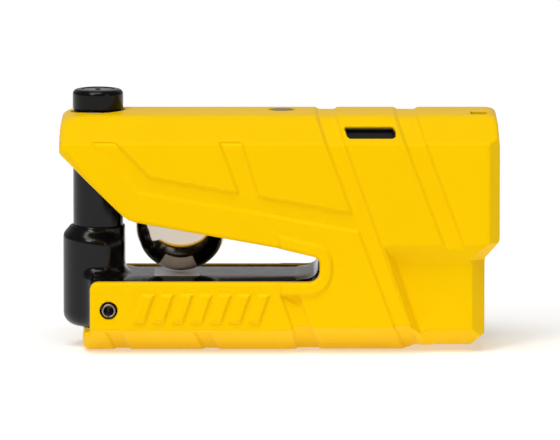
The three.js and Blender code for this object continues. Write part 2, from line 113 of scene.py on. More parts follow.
# The siren's slot, the window and the small recess on top.
SLOT_X, SLOT_Y, SLOT_Z = 28.65, 20.5, 71.5
SLOT_COS, SLOT_SIN = 0.844, 0.537
WINDOW_RADIUS = 4.25
NOTCH_X, NOTCH_Y = 63.4, 7.75

# The steel.
STEEL_TOP_OF_ARM = 23.75
ARM_HALF_WIDTH = 21
LIMB_HALF_WIDTH = 18.5
STEEL_BASE = (13.2, 3.7)
STEEL_BASE_SLOPE = (BOTTOM_BEVEL, -11)
BOSS_RADIUS = 11.4
BOSS_TOP = 36.4
BOSS_END_X = -49.3
SOCKET_RADIUS = 8.15
BALL_POCKET_RADIUS = 15.2
BAR_SLOT_HALF_WIDTH = 2.3

# The bolt, its cap and the ball.
CYLINDER_RADIUS = 6.6
CROSS_PIN_X, CROSS_PIN_Z, CROSS_PIN_RADIUS = 5.6, 70, 0.95
SKIRT = 0.6

# Radii of the screws' heads and shanks.
SCREW_RADII = (2.8, 1.45)
DOOR_SCREW_RADII = (2.3, 1.0)

# The blank label in the mouth, as (x, y) corners.
LABEL_LOW, LABEL_HIGH = (-40, -11.8), (-25.5, 8)

# The battery cover: its screw, and its grip lines.
DOOR_SCREW_X, DOOR_SCREW_Z = 53.4, 25.4
GRIP_Z, GRIP_PITCH = 9.2, 1.6


# ---------------------------------------------------------------- fields


def rounded(corners):
    """Points of an outline given as (u, v) or (u, v, radius) corners."""
    points = []
    for i, corner in enumerate(corners):
        at = Vector(corner[:2])
        radius = corner[2] if len(corner) > 2 else 0
        if not radius:
            points.append(tuple(at))
            continue
        before = (Vector(corners[i - 1][:2]) - at).normalized()
        after = (Vector(corners[(i + 1) % len(corners)][:2]) - at).normalized()
        half = before.angle(after) / 2
        centre = at + (before + after).normalized() * radius / math.sin(half)
        start = at + before * radius / math.tan(half) - centre
        end = at + after * radius / math.tan(half) - centre
        first = math.atan2(start.y, start.x)
        sweep = math.atan2(end.y, end.x) - first
        sweep -= 2 * math.pi * round(sweep / (2 * math.pi))
        steps = max(2, math.ceil(abs(sweep) / 0.3))
        for k in range(steps + 1):
            angle = first + sweep * k / steps
            points.append((centre.x + radius * math.cos(angle), centre.y + radius * math.sin(angle)))
    return points


def polygon(u, v, points):
    """Signed distance to a closed outline."""
    u, v = np.broadcast_arrays(u, v)
    nearest = np.full(u.shape, 1e9, np.float32)
    inside = np.zeros(u.shape, bool)
    for (u1, v1), (u2, v2) in zip(points, points[1:] + points[:1]):
        du, dv = u2 - u1, v2 - v1
        from_u, from_v = u - u1, v - v1
        along = np.clip((from_u * du + from_v * dv) / (du * du + dv * dv), 0, 1)
        nearest = np.minimum(nearest, (from_u - along * du) ** 2 + (from_v - along * dv) ** 2)
        if dv:
            inside ^= ((v1 > v) != (v2 > v)) & (from_u < from_v * du / dv)
    distance = np.sqrt(nearest)
    return np.where(inside, -distance, distance)


def convex(u, v, points):
    """Signed distance to a convex outline, whose points run anticlockwise."""
    distance = np.float32(-1e9)
    for (u1, v1), (u2, v2) in zip(points, points[1:] + points[:1]):
        du, dv = u2 - u1, v2 - v1
        length = math.hypot(du, dv)
        distance = np.maximum(distance, ((u - u1) * dv - (v - v1) * du) / length)
    return distance


def both(a, b, radius):
    """What is inside both fields, with a rounded edge where they meet."""
    sharp = np.minimum(np.maximum(a, b), -radius)
    return sharp + np.hypot(np.maximum(a + radius, 0), np.maximum(b + radius, 0))


def crease(a, b, width):
    """What is inside both fields, with the shallow edge between two oblique faces softened."""
    near = np.maximum(width - np.abs(a - b), 0)
    return np.maximum(a, b) + near * near / (4 * width)


def either(a, b, radius):
    """What is inside one of two fields, with a fillet where they meet."""
    return -both(-a, -b, radius)


def cut(a, b, radius):
    """Field a with field b taken out of it."""
    return both(a, -b, radius)


def ramp(low, high, value):
    t = np.clip((value - low) / (high - low), 0, 1)
    return t * t * (3 - 2 * t)


def raised(depth, distance, level, width):
    """Depth with the ground inside distance brought to level over a wall of that width."""
    share = 1 - ramp(-width / 2, width / 2, distance)
    return depth * (1 - share) + level * share


# ---------------------------------------------------------------- nets over fields


def field_normals(field, points, reach=0.04):
    """Unit gradients of a field at points."""
    gradient = np.zeros_like(points)
    for corner in ((1, -1, -1), (-1, -1, 1), (-1, 1, -1), (1, 1, 1)):
        corner = np.array(corner, np.float32)
        moved = points + reach * corner
        gradient += corner * field(moved[:, 0], moved[:, 1], moved[:, 2])[:, None]
    return gradient / np.maximum(np.linalg.norm(gradient, axis=1, keepdims=True), 1e-9)


def linked(name, data):
    """A new object in the scene that shows this mesh, light or camera."""
    obj = bpy.data.objects.new(name, data)
    bpy.context.scene.collection.objects.link(obj)
    return obj


def net(name, field, low, high, step, share=0.3):
    """A mesh over the surface of field inside a box, in metres, with normals taken from the field.

    Each grid cell that the surface passes has one vertex, the mean of the points where its edges cross.
    """
    axes = [np.arange(a, b + step, step, dtype=np.float32) for a, b in zip(low, high)]
    x, y, z = axes
    values = np.broadcast_to(
        field(x[:, None, None], y[None, :, None], z[None, None, :]), [len(a) for a in axes]
    )
    inside = values < 0
    cells = np.array(inside.shape) - 1
    rings, crossings = [], []
    for axis in range(3):
        first, second = [a for a in range(3) if a != axis]
        ahead = np.take(inside, range(1, cells[axis] + 1), axis)
        behind = np.take(inside, range(cells[axis]), axis)
        edges = np.argwhere(ahead != behind)
        keep = (edges[:, first] > 0) & (edges[:, second] > 0)
        edges = edges[keep & (edges[:, first] < cells[first]) & (edges[:, second] < cells[second])]
        further = edges.copy()
        further[:, axis] += 1
        start, end = values[tuple(edges.T)], values[tuple(further.T)]
        where = edges.astype(np.float32)
        where[:, axis] += start / (start - end)
        ring = np.repeat(edges[:, None, :], 4, axis=1)
        for corner, (d1, d2) in enumerate(((1, 1), (0, 1), (0, 0), (1, 0))):
            ring[:, corner, first] -= d1
            ring[:, corner, second] -= d2
        backward = (start < 0) == (axis == 1)
        ring[backward] = ring[backward][:, ::-1]
        rings.append(np.ravel_multi_index(tuple(np.moveaxis(ring, 2, 0)), cells))
        crossings.append(where)
    rings, crossings = np.concatenate(rings), np.concatenate(crossings)
    quads = np.unique(rings, return_inverse=True)[1].reshape(rings.shape)
    count = np.bincount(quads.ravel())
    points = np.stack(
        [np.bincount(quads.ravel(), np.repeat(crossings[:, k], 4)) / count for k in range(3)], axis=1
    )
    points = (np.array(low) + points * step).astype(np.float32)
    off = field(points[:, 0], points[:, 1], points[:, 2])[:, None]
    points -= field_normals(field, points) * np.clip(off, -0.2 * step, 0.2 * step)
    mesh = bpy.data.meshes.new(name)
    mesh.from_pydata((points * MM).tolist(), [], quads.tolist())
    obj = linked(name, mesh)
    lighten(obj, share)
    obj.data.shade_smooth()
    obj.data.normals_split_custom_set(corner_normals(obj.data, field).tolist())
    return obj


def numbers(items, name, width, kind=np.float32):
    """One property of every vertex, loop or polygon, as an array."""
    values = np.empty(len(items) * width, kind)
    items.foreach_get(name, values)
    return values.reshape(-1, width) if width > 1 else values


def corner_normals(mesh, field):
    """Field normals for face corners, taken a little inside each large face so that creases stay crisp."""
    corners = numbers(mesh.vertices, "co", 3)[numbers(mesh.loops, "vertex_index", 1, np.int32)] / MM
    corner_counts = numbers(mesh.polygons, "loop_total", 1, np.int32)
    centres = np.repeat(numbers(mesh.polygons, "center", 3), corner_counts, 0)
    inward = centres / MM - corners
    reach = np.maximum(np.linalg.norm(inward, axis=1, keepdims=True), 1e-6)
    return field_normals(field, corners + inward * np.clip(0.15 * reach - 0.1, 0, 0.8) / reach)


def lighten(obj, share):
    """Collapses the edges of flat ground first, down to a share of the triangles."""
    fewer = obj.modifiers.new("fewer", "DECIMATE")
    fewer.ratio = share
    graph = bpy.context.evaluated_depsgraph_get()
    mesh = bpy.data.meshes.new_from_object(obj.evaluated_get(graph), depsgraph=graph)
    obj.modifiers.clear()
    old = obj.data
    obj.data = mesh
    bpy.data.meshes.remove(old)
    mesh.name = obj.name


# ---------------------------------------------------------------- housing

OUTLINE = rounded([
    (-69.4, TOP + 0.4, 5), (69.2, TOP + 0.4, 4.2), (HALF_LENGTH, 66, 12), (HALF_LENGTH, 36.2, 2.5),
    (65.3, 30, 2.5), (65.3, 6.2, 1.6), (61.2, 1.8, 1.6), (43, 1.8, 2), (40.5, 0, 2), (-62.7, 0, 2.2),
    (-62.7, 6.9, 1.2), (-60.3, 6.9, 0.6), (-60.3, 23.3, 2.6), (12.7, 23.3, 3.4),
    (12.7, 31.1, 2.4), (0.5, 34, 6), (-48.2, 42.8, 9), (-HALF_LENGTH, 64.2, 2.2),
    (-HALF_LENGTH, 69, 10),
])

TOP_LINE = 84
PADS = {
    "top": [(-90, 68), (90, 68), (90, TOP_LINE), (-90, TOP_LINE)],
    "nose": [(-90, 68), (-90, 20), (-45, 20), (-45, 52.8), (-59.8, 68), (-62, 70.3), (-90, 70.3)],
    "a": [(-41.3, 57), (-13, 51.8), (-20.5, 72), (-56, 72)],
    "b": [(-6.6, 50.9), (22.9, 45.5), (8.7, TOP_LINE), (-16.9, TOP_LINE)],
    "d": [(45.6, -2), (59.8, 15), (33.7, TOP_LINE), (14.9, TOP_LINE)],
    "e": [(66, 15), (90, 15), (90, TOP_LINE), (40.4, TOP_LINE)],
    "c": [(14.4, -3), (41, -3), (25.1, 39.6), (-3.4, 44.7), (-0.2, 36), (4.5, 20)],
    "arm": [(-90, -3), (6, -3), (4.3, 8), (-0.5, 22.2), (-3.2, 30), (-90, 30)],
}


def band(depth, x, z, points, level, width):
    return raised(depth, convex(x, z, points), level, width)


def relief(x, z, outline):
    """How far the moulded surface lies below its highest level."""
    depth = np.float32(CHANNEL) + 0 * (x + z)
    right_of_grooves = ramp(-3, 3, x - 10)
    top = convex(x, z, PADS["top"])
    depth = raised(depth, top, PAD * (1 - right_of_grooves) + CHANNEL * right_of_grooves, 1.2)
    lip = convex(x, z, [(-46, 20), (2, 20), (0, 44.2), (-46, 52.3)])
    depth = raised(depth, lip, LIP, 1.6)
    nose = polygon(x, z, PADS["nose"])
    depth = raised(depth, nose, PAD + 0.35 * ramp(-56, -44, x), 1.5)
    for name in ("a", "b", "d", "e", "c", "arm"):
        depth = band(depth, x, z, PADS[name], PAD, 1.2)
    for left in (-51, -22.7):
        notch = [(left, -3), (left + 4.9, -3), (left + 0.4, 7.2), (left - 4.3, 7.2)]
        depth = band(depth, x, z, notch, CHANNEL, 1.2)
    rim = np.maximum(-outline - 3.9, np.maximum(0.2 - x, np.maximum(15 - z, z - 40)))
    depth = raised(depth, np.maximum(rim, x - 20), RAISED, 1.3)
    pocket = convex(x, z, [(6.2, 15.8), (6.9, 17.9), (2, 18.3)])
    depth = raised(depth, pocket, POCKET, 0.9)
    return arm_ribs(depth, x, z)


def arm_ribs(depth, x, z):
    """Slanted ribs on the arm."""
    for i in range(7):
        left = -46.5 + 6.1 * i
        rib = [(left, 10.6), (left + 3.6, 10.6), (left + 6.6, 19.3), (left + 3, 19.3)]
        depth = band(depth, x, z, rib, RAISED, 1.1)
    return depth


def slope(u, v, at, normal):
    """Signed distance to a plane through a point, along a normal that points out."""
    length = math.hypot(*normal)
    return ((u - at[0]) * normal[0] + (v - at[1]) * normal[1]) / length


def cross_section(x, y, side, z, depth, edge):
    """The housing's section: face, long bevels, crown and base, lowered by the relief."""
    rise, run = TOP_BEVEL[0] - TOP_BEVEL[1], HALF_WIDTH - SHOULDER_Y
    face = side - HALF_WIDTH + depth
    upper = slope(side, z, (SHOULDER_Y, TOP_BEVEL[0]), (rise, run)) + depth
    crown = np.hypot(y, z - TOP + CROWN_RADIUS) - CROWN_RADIUS + 0.75 * depth - 0.6
    lower = slope(side, z, (SHOULDER_Y, 0), (BOTTOM_BEVEL, -run)) + depth + 0.75 * ramp(1, 8, x)
    shape = crease(face, upper, 0.5 * edge)
    shape = crease(shape, crown, 0.7 * edge)
    shape = crease(shape, lower, 0.5 * edge)
    return crease(shape, 0.6 * np.maximum(depth - PAD, 0) - z + 0 * side, 0.6 * edge)


def block_recess(side, x, z):
    """What is missing around the set-back battery block."""
    deep = BLOCK_Y - side
    ledge = slope(side, z, (BLOCK_Y, LEDGE[1]), (LEDGE[1] - LEDGE[0], HALF_WIDTH - BLOCK_Y))
    wall_x = 32.4 + 0.348 * (35.4 - z) + 0.54 * (HALF_WIDTH - side)
    recess = crease(crease(deep, ledge, 0.3), (wall_x - x) / 1.19, 0.6)
    corner = (BLOCK_CORNER - x - side) / math.sqrt(2)
    rise = 0.75 * (z - 30) - 0.45 * (x + side - BLOCK_CORNER)
    return np.minimum(recess, np.maximum(corner, rise))


def housing_outside(x, y, z, moulded=True):
    side = np.abs(y)
    outline = polygon(x, z, OUTLINE)
    depth = relief(x, z, outline) if moulded else np.float32(PAD)
    edge = 1 if moulded else 0.1
    section = cross_section(x, y, side, z, depth, edge)
    rounding = (1.3 + 1.9 * (1 - ramp(-68, -60, x))) * edge
    shape = both(section, outline, rounding)
    shape = crease(shape, (x + side - HALF_LENGTH - 21.9) / math.sqrt(2), 0.5)
    block_base = slope(side, z, (BLOCK_Y, 8), (1, -1)) - 9 * (1 - ramp(40, 47, x))
    shape = crease(shape, block_base, 0.8 * edge)
    return crease(shape, -block_recess(side, x, z), 0.3 * edge)


def housing_hollow(x, y, z):
    """The space inside the shell, open where the steel shows."""
    side = np.abs(y)
    room = np.maximum(housing_outside(x, y, z, moulded=False) + WALL, -66.3 - x)
    arm_room = [(-57.9, 2.5), (15.5, 2.5), (15.5, 30), (-80, 30), (-80, 7), (-57.9, 7)]
    trough = np.maximum(side - ARM_HALF_WIDTH - 0.6, polygon(x, z, arm_room))
    trough = np.maximum(trough, slope(side, z, (STEEL_BASE[0], 3.4), STEEL_BASE_SLOPE))
    jaw = [(-68.3, 60), (-47.5, 39), (0.5, 32), (12, 30), (15.5, 30), (15.5, 40), (-40, 50), (-65, 67.5)]
    opening = np.maximum(side - MOUTH_HALF_WIDTH, polygon(x, z, jaw))
    return np.minimum(np.minimum(room, trough), opening)


def round_hole(a, b, at, radius):
    return np.hypot(a - at[0], b - at[1]) - radius


def housing_holes(x, y, z):
    """Holes through the shell: bolt, window, pin, siren slot and the small recess on top."""
    bolt = np.maximum(round_hole(x, y, (BOLT_X, 0), BOLT_RADIUS + 0.45), 60 - z)
    window = np.maximum(round_hole(x, y, (LED_X, 0), WINDOW_RADIUS), 60 - z)
    pin = np.maximum(round_hole(x, z, (PIN_X, PIN_Z), 2.8), 20 - np.abs(y))
    slot, above = siren_slot(x, y, z)
    slot = np.maximum(slot, -5 - above)
    notch = both(np.abs(x - NOTCH_X) - 2.4, np.abs(y + NOTCH_Y) - 2.7, 0.8)
    notch = np.maximum(notch, 72.6 - z)
    return np.minimum(np.minimum(np.minimum(bolt, window), np.minimum(pin, slot)), notch)


def siren_slot(x, y, z):
    """Distance to the slot's outline on the front bevel, and height above the bevel."""
    up_slope = (-y - SLOT_Y) * -SLOT_COS + (z - SLOT_Z) * SLOT_SIN
    above = (-y - SLOT_Y) * SLOT_SIN + (z - SLOT_Z) * SLOT_COS
    return polygon(x - SLOT_X, up_slope, SIREN_SLOT), above


def slot_shade_liner(x, y, z):
    """A black liner inside the siren's slot: painted shade that darkens the slot's walls."""
    slot, above = siren_slot(x, y, z)
    return np.maximum(np.maximum(slot + 0.05, -slot - 0.6), np.maximum(above + 1.5, -above - 3.6))


SIREN_SLOT = rounded([(-8.2, 3, 0.9), (-6.9, -3, 1.4), (8.2, -3, 1.4), (8.2, 0.6, 1), (7.4, 3, 0.9)])


def whole_shell(x, y, z):
    """The housing before it is parted into two shells."""
    shell = np.maximum(housing_outside(x, y, z), -housing_hollow(x, y, z))
    return cut(shell, housing_holes(x, y, z), 0.35)


def main_housing(x, y, z):
    return both(whole_shell(x, y, z), y - PARTING_Y, 0.35)


def rear_cover(x, y, z):
    shell = whole_shell(x, y, z)
    low, high = COVER_LOW, COVER_HIGH
    door = convex(x, z, [(low[0], low[2]), (high[0], low[2]), (high[0], high[2]), (low[0], high[2])])
    shell = cut(shell, np.maximum(door - 0.25, 12 - y), 0.3)
    for i in range(6):
        centre = axis_along_y(f"housing_screw_{i + 1}")
        shell = cut(shell, np.maximum(round_hole(x, z, centre, 3.3), 24.2 - y), 0.3)
        shell = np.maximum(shell, -np.maximum(round_hole(x, z, centre, 1.8), 12 - y))
    return both(shell, COVER_Y - y, 0.35)


# ---------------------------------------------------------------- steel jaw


def steel_jaw(x, y, z):
    side = np.abs(y)
    flat = 12.5 + 5 * (1 - ramp(-50, -45, x))
    over = z - STEEL_TOP_OF_ARM
    arm = both(over, over + 0.18 * (side - flat), 0.5)
    arm = both(arm, side - ARM_HALF_WIDTH, 1.0)
    base = slope(side, z, STEEL_BASE, STEEL_BASE_SLOPE)
    arm = both(arm, base, 1.0)
    arm = both(arm, np.maximum(2.7 - z, np.maximum(-60.2 - x, x - 13)), 1.5)
    limb = polygon(x, z, LIMB)
    limb = both(limb, side - LIMB_HALF_WIDTH, 1.0)
    limb = np.maximum(limb, slope(side, z, (13.7, 71.9), (7, 11)))
    limb = np.maximum(limb, base)
    reach = np.hypot(x - BOLT_X, y)
    boss = reach - BOSS_RADIUS
    boss = both(boss, (x + 53.8) * 0.75 + (side - 9.9) * 0.66, 0.9)
    boss = both(boss, np.maximum(x + 49.9, -69.4 - x), 0.6)
    boss = both(boss, z - BOSS_TOP - 0.13 * (BOLT_X - x), 3.0)
    boss = both(boss, 6.6 - z + 0 * x, 4.8)
    shoulder = both(reach - 8.9, z - 39, 0.6)
    boss = either(boss, np.maximum(shoulder, 20 - z), 2.2)
    boss = both(boss, x - BOSS_END_X + 0 * z, 0.5)
    shape = either(arm, boss, 3.5)
    shape = either(shape, limb, 1.0)
    bore = np.maximum(reach - SOCKET_RADIUS, 21.5 - z)
    bar_slot = np.maximum(side - BAR_SLOT_HALF_WIDTH, -x + BOLT_X)
    bore = np.minimum(bore, np.maximum(bar_slot, np.maximum(x + 47.9, 45.5 - z)))
    pocket = np.maximum(np.hypot(x - BALL_X, y) - BALL_POCKET_RADIUS, 33 - z)
    hole = np.hypot(x - PIN_X, z - PIN_Z) - PIN_RADIUS - 0.3
    return cut(shape, np.minimum(np.minimum(bore, pocket), hole), 0.5)


LIMB = rounded([
    (-66.8, 71.5, 4), (18.6, 71.5, 1), (18.6, 3.5, 1), (6, 3.5), (6, 23.2), (12.3, 24.2, 3.8),
    (12.3, 32.2, 2), (0.5, 34.9), (-48, 43.6, 9), (-68, 63.2, 1),
])


# ---------------------------------------------------------------- bolt, pin, screws, battery door


def locking_bolt(x, y, z):
    reach = np.hypot(x - BOLT_X, y)
    shoulder = CAP_LOW[2] - SKIRT - 0.3
    shape = both(both(reach - BOLT_RADIUS, z - shoulder, 0.3), BOLT_LOW[2] - z, 1.0)
    shape = np.minimum(shape, both(reach - 7.3, np.maximum(z - BOLT_HIGH[2], 70 - z), 0.2))
    shape = np.maximum(shape, -np.maximum(reach - CYLINDER_RADIUS, 45 - z))
    slot = np.maximum(np.maximum(np.abs(y) - BAR_SLOT_HALF_WIDTH, BOLT_X - x), np.abs(z - 47.3) - 1.6)
    cross_pin = np.hypot(x - BOLT_X + CROSS_PIN_X, z - CROSS_PIN_Z) - CROSS_PIN_RADIUS
    return np.maximum(shape, -np.minimum(slot, cross_pin))


def roll_pin(x, y, z):
    reach = np.hypot(x - PIN_X, z - PIN_Z)
    shape = both(reach - PIN_RADIUS, np.abs(y) - PIN_HIGH[1], 0.35)
    shape = cut(shape, reach - 1.6 + 0 * y, 0.15)
    return cut(shape, np.maximum(np.maximum(np.abs(x - PIN_X) - 0.2, z - PIN_Z), 24.2 - np.abs(y)), 0.1)


def screw(x, y, z, centre, head_y, tip_y, radii):
    """A screw along Y with a domed head and a hexagon socket. Its radii are the head's and the shank's."""
    head_radius, shank_radius = radii
    u, v = x - centre[0], z - centre[1]
    reach = np.hypot(u, v)
    head_depth = 1.4 if head_radius > 2.5 else 1.1
    head = both(reach - head_radius, np.maximum(y - head_y, head_y - head_depth - y), 0.45)
    socket = np.float32(-9)
    for k in range(3):
        angle = math.radians(60 * k + 30)
        socket = np.maximum(socket, np.abs(u * math.cos(angle) + v * math.sin(angle)) - 0.45 * head_radius)
    head = cut(head, np.maximum(socket, head_y - 0.8 - y), 0.1)
    shank = both(reach - shank_radius, np.maximum(y - head_y + 0.5 * head_depth, tip_y - y), 0.3)
    return np.minimum(head, shank)


def battery_cover(x, y, z):
    low, high = COVER_LOW, COVER_HIGH
    middle_x, middle_z = (low[0] + high[0]) / 2, (low[2] + high[2]) / 2
    half_x, half_z = (high[0] - low[0]) / 2, (high[2] - low[2]) / 2
    plate = both(np.abs(x - middle_x) - half_x, np.abs(z - middle_z) - half_z, 1.0)
    plate = both(plate, np.maximum(y - high[1], high[1] - 2.3 - y), 0.4)
    grip = np.float32(9)
    for i in range(3):
        line = np.abs(z - GRIP_Z - GRIP_PITCH * i) - 0.45
        grip = np.minimum(grip, np.maximum(line, np.abs(x - middle_x) - 5))
    plate = cut(plate, np.maximum(grip, high[1] - 0.5 - y), 0.2)
    nose = np.maximum(np.abs(x - DOOR_SCREW_X) - 6, np.abs(z - 15.6) - 6)
    nose = np.maximum(nose, np.maximum(low[1] - y, y - 19.5))
    shape = np.minimum(plate, nose)
    reach = np.hypot(x - DOOR_SCREW_X, z - DOOR_SCREW_Z)
    return cut(shape, np.minimum(reach - 1.3 + 0 * y, np.maximum(reach - 2.6, high[1] - 1.5 - y)), 0.15)


# ---------------------------------------------------------------- turned pieces


def turned(name, profile, x=0.0, y=0.0, segments=128):
    """A mesh turned about a vertical axis from (radius, height) points in millimetres."""
    points = [
        ((x + r * math.cos(2 * math.pi * k / segments)) * MM,
         (y + r * math.sin(2 * math.pi * k / segments)) * MM, z * MM)
        for r, z in profile for k in range(segments)
    ]
    rings = range(0, (len(profile) - 1) * segments, segments)
    faces = [
        (i + k, i + (k + 1) % segments, i + segments + (k + 1) % segments, i + segments + k)
        for i in rings for k in range(segments)
    ]
    mesh = bpy.data.meshes.new(name)
    mesh.from_pydata(points, [], faces)
    work = bmesh.new()
    work.from_mesh(mesh)
    bmesh.ops.remove_doubles(work, verts=work.verts, dist=1e-6)
    bmesh.ops.recalc_face_normals(work, faces=work.faces)
    work.to_mesh(mesh)
    work.free()
    mesh.shade_smooth()
    mesh.set_sharp_from_angle(angle=math.radians(32))
    return linked(name, mesh)


def arc(centre, radius, start, end, steps):
    """Points of an arc in a profile, by angle in degrees from the outward direction."""
    angles = [math.radians(start + (end - start) * k / steps) for k in range(steps + 1)]
    return [(centre[0] + radius * math.cos(a), centre[1] + radius * math.sin(a)) for a in angles]


def coil_spring(name, x, low, high, radius, wire, turns, sides=12, steps=36):
    """A compression spring about a vertical axis, whose end turns lie close."""
    total = turns * steps
    climb = [0.0]
    for k in range(total):
        ends = min(k, total - 1 - k) / steps
        climb.append(climb[-1] + (1.0 if ends > 0.9 else 0.62))
    rings = []
    for k, height in enumerate(climb):
        angle = 2 * math.pi * k / steps
        z = low + wire + (high - low - 2 * wire) * height / climb[-1]
        for j in range(sides):
            around_wire = 2 * math.pi * j / sides
            r = radius + wire * math.cos(around_wire)
            rings.append(((x + r * math.cos(angle)) * MM, r * math.sin(angle) * MM,
                          (z + wire * math.sin(around_wire)) * MM))
    faces = [
        (k * sides + j, (k + 1) * sides + j, (k + 1) * sides + (j + 1) % sides, k * sides + (j + 1) % sides)
        for k in range(total) for j in range(sides)
    ]
    faces += [tuple(range(sides)), tuple(reversed(range(total * sides, (total + 1) * sides)))]
    mesh = bpy.data.meshes.new(name)
    mesh.from_pydata(rings, [], faces)
    mesh.shade_smooth()
    mesh.set_sharp_from_angle(angle=math.radians(40))
    return linked(name, mesh)


def sheet(name, outline, low, high):
    """A thin plate between two heights from an outline of (x, y) points in millimetres."""
    count = len(outline)
    points = [(x * MM, y * MM, z * MM) for z in (low, high) for x, y in outline]
    sides = [(i, (i + 1) % count, count + (i + 1) % count, count + i) for i in range(count)]
    caps = [tuple(reversed(range(count))), tuple(range(count, 2 * count))]
    mesh = bpy.data.meshes.new(name)
    mesh.from_pydata(points, [], sides + caps)
    return linked(name, mesh)


# ---------------------------------------------------------------- materials


class Surface:
    """A principled material whose colour, roughness and relief vary with noise in the object's space."""

    def __init__(self, name, color, roughness, **constants):
        self.material = bpy.data.materials.new(name)
        self.material.use_nodes = True
        self.nodes = self.material.node_tree.nodes
        self.links = self.material.node_tree.links
        self.shader = self.nodes["Principled BSDF"]
        self.color = color
        self.set("Base Color", (*color, 1))
        self.set("Roughness", roughness)
        for key, value in constants.items():
            self.set(key.replace("_", " ").title().replace("Ior", "IOR"), value)
        self.space = self.nodes.new("ShaderNodeTexCoord").outputs["Object"]

    def set(self, socket, value):
        self.shader.inputs[socket].default_value = value

    def noise(self, scale, detail=3.0):
        """Noise whose waves are 1/scale metres long."""
        node = self.nodes.new("ShaderNodeTexNoise")
        node.inputs["Scale"].default_value = scale
        node.inputs["Detail"].default_value = detail
        self.links.new(self.space, node.inputs["Vector"])
        return node.outputs["Fac"]

    def spread(self, source, low, high, start=0.3, end=0.7):
        node = self.nodes.new("ShaderNodeMapRange")
        for socket, value in (("From Min", start), ("From Max", end), ("To Min", low), ("To Max", high)):
            node.inputs[socket].default_value = value
        self.links.new(source, node.inputs["Value"])
        return node.outputs["Result"]

    def tones(self, scale, darker, lighter):
        """Lets the colour drift between two shades of itself."""
        mix = self.nodes.new("ShaderNodeMix")
        mix.data_type = "RGBA"
        mix.inputs["A"].default_value = (*(c * darker for c in self.color), 1)
        mix.inputs["B"].default_value = (*(min(1, c * lighter) for c in self.color), 1)
        self.links.new(self.spread(self.noise(scale), 0, 1), mix.inputs["Factor"])
        self.links.new(mix.outputs["Result"], self.shader.inputs["Base Color"])
        return self

    def gloss(self, scale, low, high):
        self.links.new(self.spread(self.noise(scale), low, high), self.shader.inputs["Roughness"])
        return self

    def relief(self, scale, depth_mm, detail=2.0):
        bump = self.nodes.new("ShaderNodeBump")
        bump.inputs["Strength"].default_value = 1.0
        bump.inputs["Distance"].default_value = depth_mm * MM
        self.links.new(self.noise(scale, detail), bump.inputs["Height"])
        self.links.new(bump.outputs["Normal"], self.shader.inputs["Normal"])
        return self


YELLOW = (0.930, 0.572, 0.0012)
paint = Surface("yellow_lacquer", YELLOW, 0.36, specular_tint=(1, 0.72, 0.03, 1), specular_ior_level=0.11)
paint.tones(30, 0.985, 1.01).gloss(260, 0.32, 0.42).relief(700, 0.012)
steel = Surface("black_coated_steel", (0.0048, 0.0042, 0.0042), 0.2, specular_ior_level=0.26)
steel.gloss(320, 0.13, 0.22).relief(600, 0.006)
moulded = Surface("cap_plastic", (0.0042, 0.0042, 0.004), 0.13, specular_ior_level=0.17)
moulded.gloss(300, 0.1, 0.17)
mirror = Surface("polished_ball", (0.60, 0.53, 0.45), 0.1, metallic=1.0).gloss(180, 0.08, 0.13)
zinc = Surface("zinc_steel", (0.42, 0.40, 0.40), 0.34, metallic=1.0)
zinc.gloss(500, 0.28, 0.42).relief(2500, 0.004)
spring = Surface("spring_steel", (0.55, 0.55, 0.56), 0.28, metallic=1.0).gloss(700, 0.24, 0.36)
brass = Surface("turned_brass", (0.60, 0.40, 0.13), 0.3, metallic=1.0)
brass.gloss(400, 0.26, 0.4).relief(1800, 0.004)
rubber = Surface("black_rubber", (0.012, 0.012, 0.012), 0.8).relief(2200, 0.01)
plastic = Surface("black_plastic", (0.007, 0.007, 0.0065), 0.45, specular_ior_level=0.2)
plastic.relief(1600, 0.008)
board = Surface("circuit_board", (0.010, 0.11, 0.040), 0.42, coat_weight=0.4).tones(400, 0.7, 1.2)
# The lens's yellow-brown colour is a painted reflection of the yellow housing, laid over a dark smoked
# lens.
smoked_lens_and_reflection = Surface("smoked_lens", (0.20, 0.14, 0.035), 0.3).gloss(200, 0.26, 0.36)
led = Surface("led_lens", (0.45, 0.04, 0.03), 0.12, transmission_weight=0.4)
film = Surface("ribbon_film", (0.50, 0.42, 0.26), 0.5).gloss(300, 0.42, 0.55)
wrap = Surface("battery_wrap", (0.03, 0.07, 0.24), 0.3, coat_weight=0.5).gloss(250, 0.26, 0.36)
pin_steel = Surface("pin_steel", (0.30, 0.25, 0.26), 0.4, metallic=1.0).gloss(600, 0.34, 0.5)
paper = Surface("blank_label", (0.84, 0.80, 0.80), 0.35, coat_weight=0.3).tones(350, 0.93, 1.03)

FINISHES = {
    zinc: ("zinc_steel", ["cylinder_pin", "plug_face", "keyway_shutter", "tail_cam", "locking_bar",
                          "ball_cup", "ball_pocket_cap", "board_screw_1", "board_screw_2"]),
    brass: ("brass", ["cylinder_body", "key_plug"] + [f"tumbler_disc_{i + 1}" for i in range(6)]),
    spring: ("spring_steel", ["battery_contact_spring", "cover_contact"]),
    rubber: ("rubber", ["bolt_seal", "cover_gasket"]),
    plastic: ("black_plastic", ["controller_chip", "motion_sensor", "buffer_capacitor", "piezo_siren",
                                "siren_mesh", "bolt_switch", "battery_tray"]),
    board: ("circuit_board", ["alarm_board", "led_board"]),
    smoked_lens_and_reflection: ("smoked_lens", ["led_window"]),
    led: ("led_lens", ["status_led"]),
    film: ("ribbon", ["led_ribbon", "switch_ribbon"]),
    wrap: ("battery_wrap", ["battery"]),
}
for surface, (slot, nodes) in FINISHES.items():
    for node in nodes:
        slots = bpy.data.objects[node].data.materials
        slots.clear()
        slots.append(surface.material)


# ---------------------------------------------------------------- pieces


def place(obj, body, slot, surface, *nodes):
    """Gives a piece its material, its body and the CAD nodes it stands for."""
    obj.data.materials.append(surface.material)
    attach(obj, body)
    if nodes:
        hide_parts(*nodes)
    return obj


def around(node, margin=1.2):
    low, high = box_mm(node)
    return [v - margin for v in low], [v + margin for v in high]


